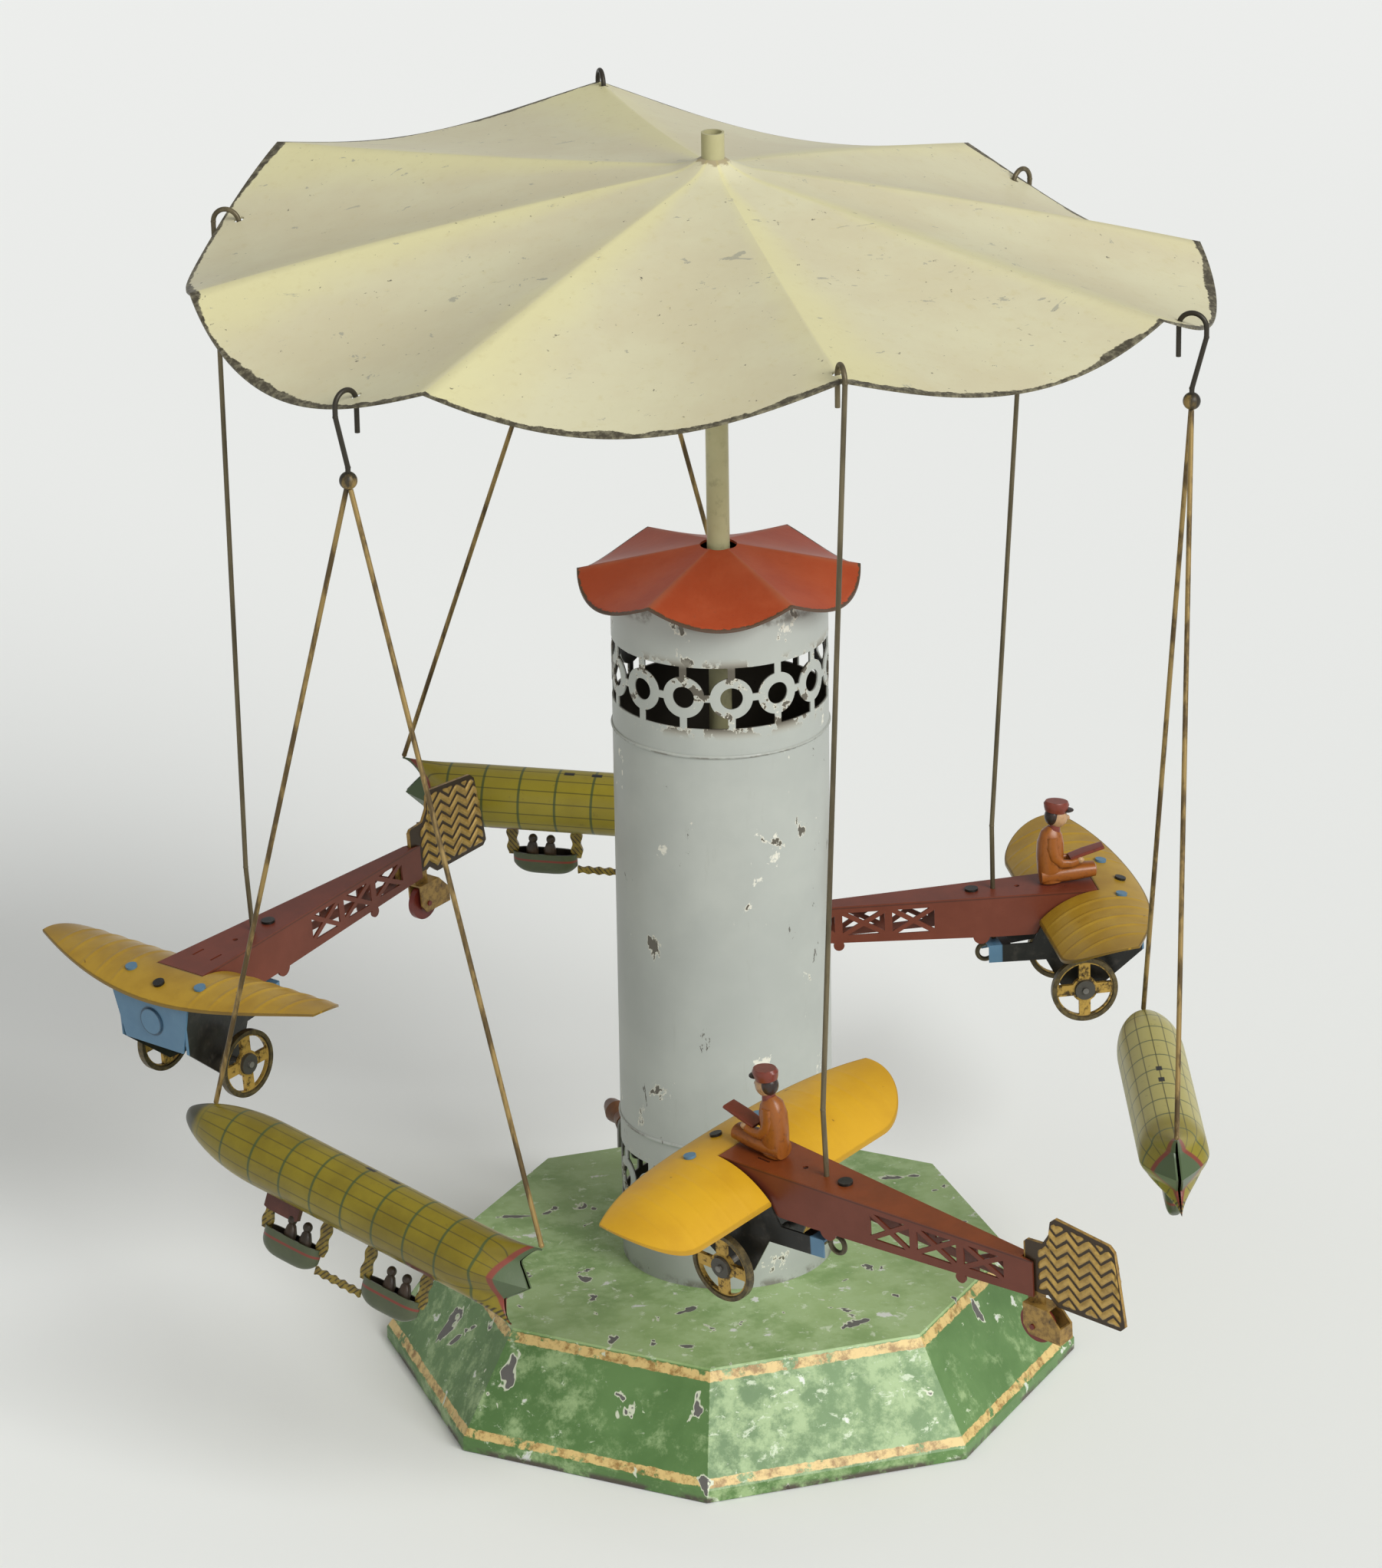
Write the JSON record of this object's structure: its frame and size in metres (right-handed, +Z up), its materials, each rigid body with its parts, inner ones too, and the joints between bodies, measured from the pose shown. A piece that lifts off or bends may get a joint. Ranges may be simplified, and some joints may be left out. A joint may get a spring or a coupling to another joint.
{
  "type": "flying carousel toy",
  "caption": "Tinplate flying carousel: a hand crank turns a fluted canopy on a pierced column, swinging monoplanes and airships that hang from it on wires.",
  "frame": {"origin": "centre of the base plate's underside, on the spindle's axis", "axes": "+Z up along the spindle; +Y out through the base face that has the crank; +X to the right when looking along +Y"},
  "size_m": [0.3261, 0.3932, 0.36],
  "materials": {
    "green_paint": "worn gloss",
    "bare_tin": "dull",
    "column_paint": "worn satin",
    "red_paint": "worn gloss",
    "cream_paint": "worn satin",
    "rod_paint": "worn satin",
    "knob_wood": "waxed",
    "wire_metal": "tarnished",
    "fuselage_paint": "worn gloss",
    "wing_paint": "worn gloss",
    "frame_paint": "worn gloss",
    "wheel_metal": "tarnished",
    "tail_paint": "worn gloss",
    "tail_wheel_paint": "worn gloss",
    "pilot_paint": "worn gloss",
    "hull_paint": "worn gloss",
    "gondola_paint": "worn gloss"
  },
  "bodies": {
    "stand": {"base_shell": "green_paint", "base_plate": "bare_tin", "foot_bearing": "bare_tin", "column_tube": "column_paint", "upper_bearing": "bare_tin", "column_roof": "red_paint", "crank_bracket": "bare_tin"},
    "carousel": {"spindle": "rod_paint", "crown_wheel": "bare_tin", "canopy_collar": "rod_paint", "canopy": "cream_paint"},
    "crank": {"crank_shaft": "bare_tin", "crank_pinion": "bare_tin", "crank_arm": "bare_tin"},
    "crank_handle": {"crank_knob": "knob_wood"},
    "front_plane_hanger": {"front_plane_wire": "wire_metal"},
    "front_plane": {"front_plane_fuselage": "fuselage_paint", "front_plane_wing": "wing_paint", "front_plane_undercarriage": "frame_paint", "front_plane_tail": "tail_paint", "front_plane_pilot": "pilot_paint"},
    "front_plane_wheelset": {"front_plane_axle": "bare_tin", "front_plane_wheels": "wheel_metal"},
    "front_plane_tail_roller": {"front_plane_tail_wheel": "tail_wheel_paint"},
    "right_airship": {"right_airship_bow_wire": "wire_metal", "right_airship_stern_wire": "wire_metal", "right_airship_port_hull": "hull_paint", "right_airship_starboard_hull": "hull_paint", "right_airship_gondola": "gondola_paint"},
    "right_plane_hanger": {"right_plane_wire": "wire_metal"},
    "right_plane": {"right_plane_fuselage": "fuselage_paint", "right_plane_wing": "wing_paint", "right_plane_undercarriage": "frame_paint", "right_plane_tail": "tail_paint", "right_plane_pilot": "pilot_paint"},
    "right_plane_wheelset": {"right_plane_axle": "bare_tin", "right_plane_wheels": "wheel_metal"},
    "right_plane_tail_roller": {"right_plane_tail_wheel": "tail_wheel_paint"},
    "back_airship": {"back_airship_bow_wire": "wire_metal", "back_airship_stern_wire": "wire_metal", "back_airship_port_hull": "hull_paint", "back_airship_starboard_hull": "hull_paint", "back_airship_gondola": "gondola_paint"},
    "left_plane_hanger": {"left_plane_wire": "wire_metal"},
    "left_plane": {"left_plane_fuselage": "fuselage_paint", "left_plane_wing": "wing_paint", "left_plane_undercarriage": "frame_paint", "left_plane_tail": "tail_paint"},
    "left_plane_wheelset": {"left_plane_axle": "bare_tin", "left_plane_wheels": "wheel_metal"},
    "left_plane_tail_roller": {"left_plane_tail_wheel": "tail_wheel_paint"},
    "front_airship": {"front_airship_bow_wire": "wire_metal", "front_airship_stern_wire": "wire_metal", "front_airship_port_hull": "hull_paint", "front_airship_starboard_hull": "hull_paint", "front_airship_gondola": "gondola_paint"}
  },
  "joints": [
    {"name": "carousel_spin", "type": "hinge", "parent": "stand", "child": "carousel", "pos_m": [0, 0, 0], "axis": [0, 0, 1], "continuous": true},
    {"name": "crank_spin", "type": "hinge", "parent": "stand", "child": "crank", "pos_m": [0, 0.07, 0.0175], "axis": [0, 1, 0], "continuous": true},
    {"name": "knob_spin", "type": "hinge", "parent": "crank", "child": "crank_handle", "pos_m": [0, 0.09359, 0.0295], "axis": [0, 1, 0], "continuous": true},
    {"name": "front_plane_swing", "type": "hinge", "parent": "carousel", "child": "front_plane_hanger", "pos_m": [-0.01285, -0.13595, 0.33272], "axis": [-0.9956, 0.0941, 0], "range_deg": [-4, 25]},
    {"name": "front_plane_swivel", "type": "hinge", "parent": "front_plane_hanger", "child": "front_plane", "pos_m": [-0.01811, -0.13525, 0.11422], "axis": [-0.0737, -0.0818, 0.9939], "range_deg": [-15, 15]},
    {"name": "front_plane_wheel_spin", "type": "hinge", "parent": "front_plane", "child": "front_plane_wheelset", "pos_m": [-0.02783, -0.11217, 0.08703], "axis": [-0.8665, -0.4881, -0.1045], "continuous": true},
    {"name": "front_plane_tail_wheel_spin", "type": "hinge", "parent": "front_plane", "child": "front_plane_tail_roller", "pos_m": [0.01815, -0.19503, 0.09277], "axis": [-0.8665, -0.4881, -0.1045], "continuous": true},
    {"name": "right_airship_swing", "type": "hinge", "parent": "carousel", "child": "right_airship", "pos_m": [0.10477, -0.08304, 0.31771], "axis": [-0.6211, -0.7837, 0], "range_deg": [-4, 25]},
    {"name": "right_plane_swing", "type": "hinge", "parent": "carousel", "child": "right_plane_hanger", "pos_m": [0.11641, 0.07022, 0.31491], "axis": [0.5165, -0.8563, 0], "range_deg": [-4, 25]},
    {"name": "right_plane_swivel", "type": "hinge", "parent": "right_plane_hanger", "child": "right_plane", "pos_m": [0.11034, 0.07602, 0.09621], "axis": [-0.0172, 0.0027, 0.9998], "range_deg": [-15, 15]},
    {"name": "right_plane_wheel_spin", "type": "hinge", "parent": "right_plane", "child": "right_plane_wheelset", "pos_m": [0.13444, 0.07225, 0.06843], "axis": [0.1547, 0.988, 0], "continuous": true},
    {"name": "right_plane_tail_wheel_spin", "type": "hinge", "parent": "right_plane", "child": "right_plane_tail_roller", "pos_m": [0.04093, 0.08689, 0.07588], "axis": [0.1547, 0.988, 0], "continuous": true},
    {"name": "back_airship_swing", "type": "hinge", "parent": "carousel", "child": "back_airship", "pos_m": [0.01316, 0.13923, 0.33682], "axis": [0.9956, -0.0941, 0], "range_deg": [-4, 25]},
    {"name": "left_plane_swing", "type": "hinge", "parent": "carousel", "child": "left_plane_hanger", "pos_m": [-0.11436, 0.08127, 0.32491], "axis": [0.5793, 0.8151, 0], "range_deg": [-4, 25]},
    {"name": "left_plane_swivel", "type": "hinge", "parent": "left_plane_hanger", "child": "left_plane", "pos_m": [-0.11467, 0.08395, 0.11271], "axis": [-0.0687, -0.0212, 0.9974], "range_deg": [-15, 15]},
    {"name": "left_plane_wheel_spin", "type": "hinge", "parent": "left_plane", "child": "left_plane_wheelset", "pos_m": [-0.13313, 0.07219, 0.08292], "axis": [0.5169, -0.8559, 0.0174], "continuous": true},
    {"name": "left_plane_tail_wheel_spin", "type": "hinge", "parent": "left_plane", "child": "left_plane_tail_roller", "pos_m": [-0.05312, 0.12083, 0.09859], "axis": [0.5169, -0.8559, 0.0174], "continuous": true},
    {"name": "front_airship_swing", "type": "hinge", "parent": "carousel", "child": "front_airship", "pos_m": [-0.12223, -0.06554, 0.31777], "axis": [-0.4726, 0.8813, 0], "range_deg": [-4, 25]}
  ],
  "couplings": [
    {"joint": "crank_spin", "follows": "carousel_spin", "ratio": 4}
  ]
}
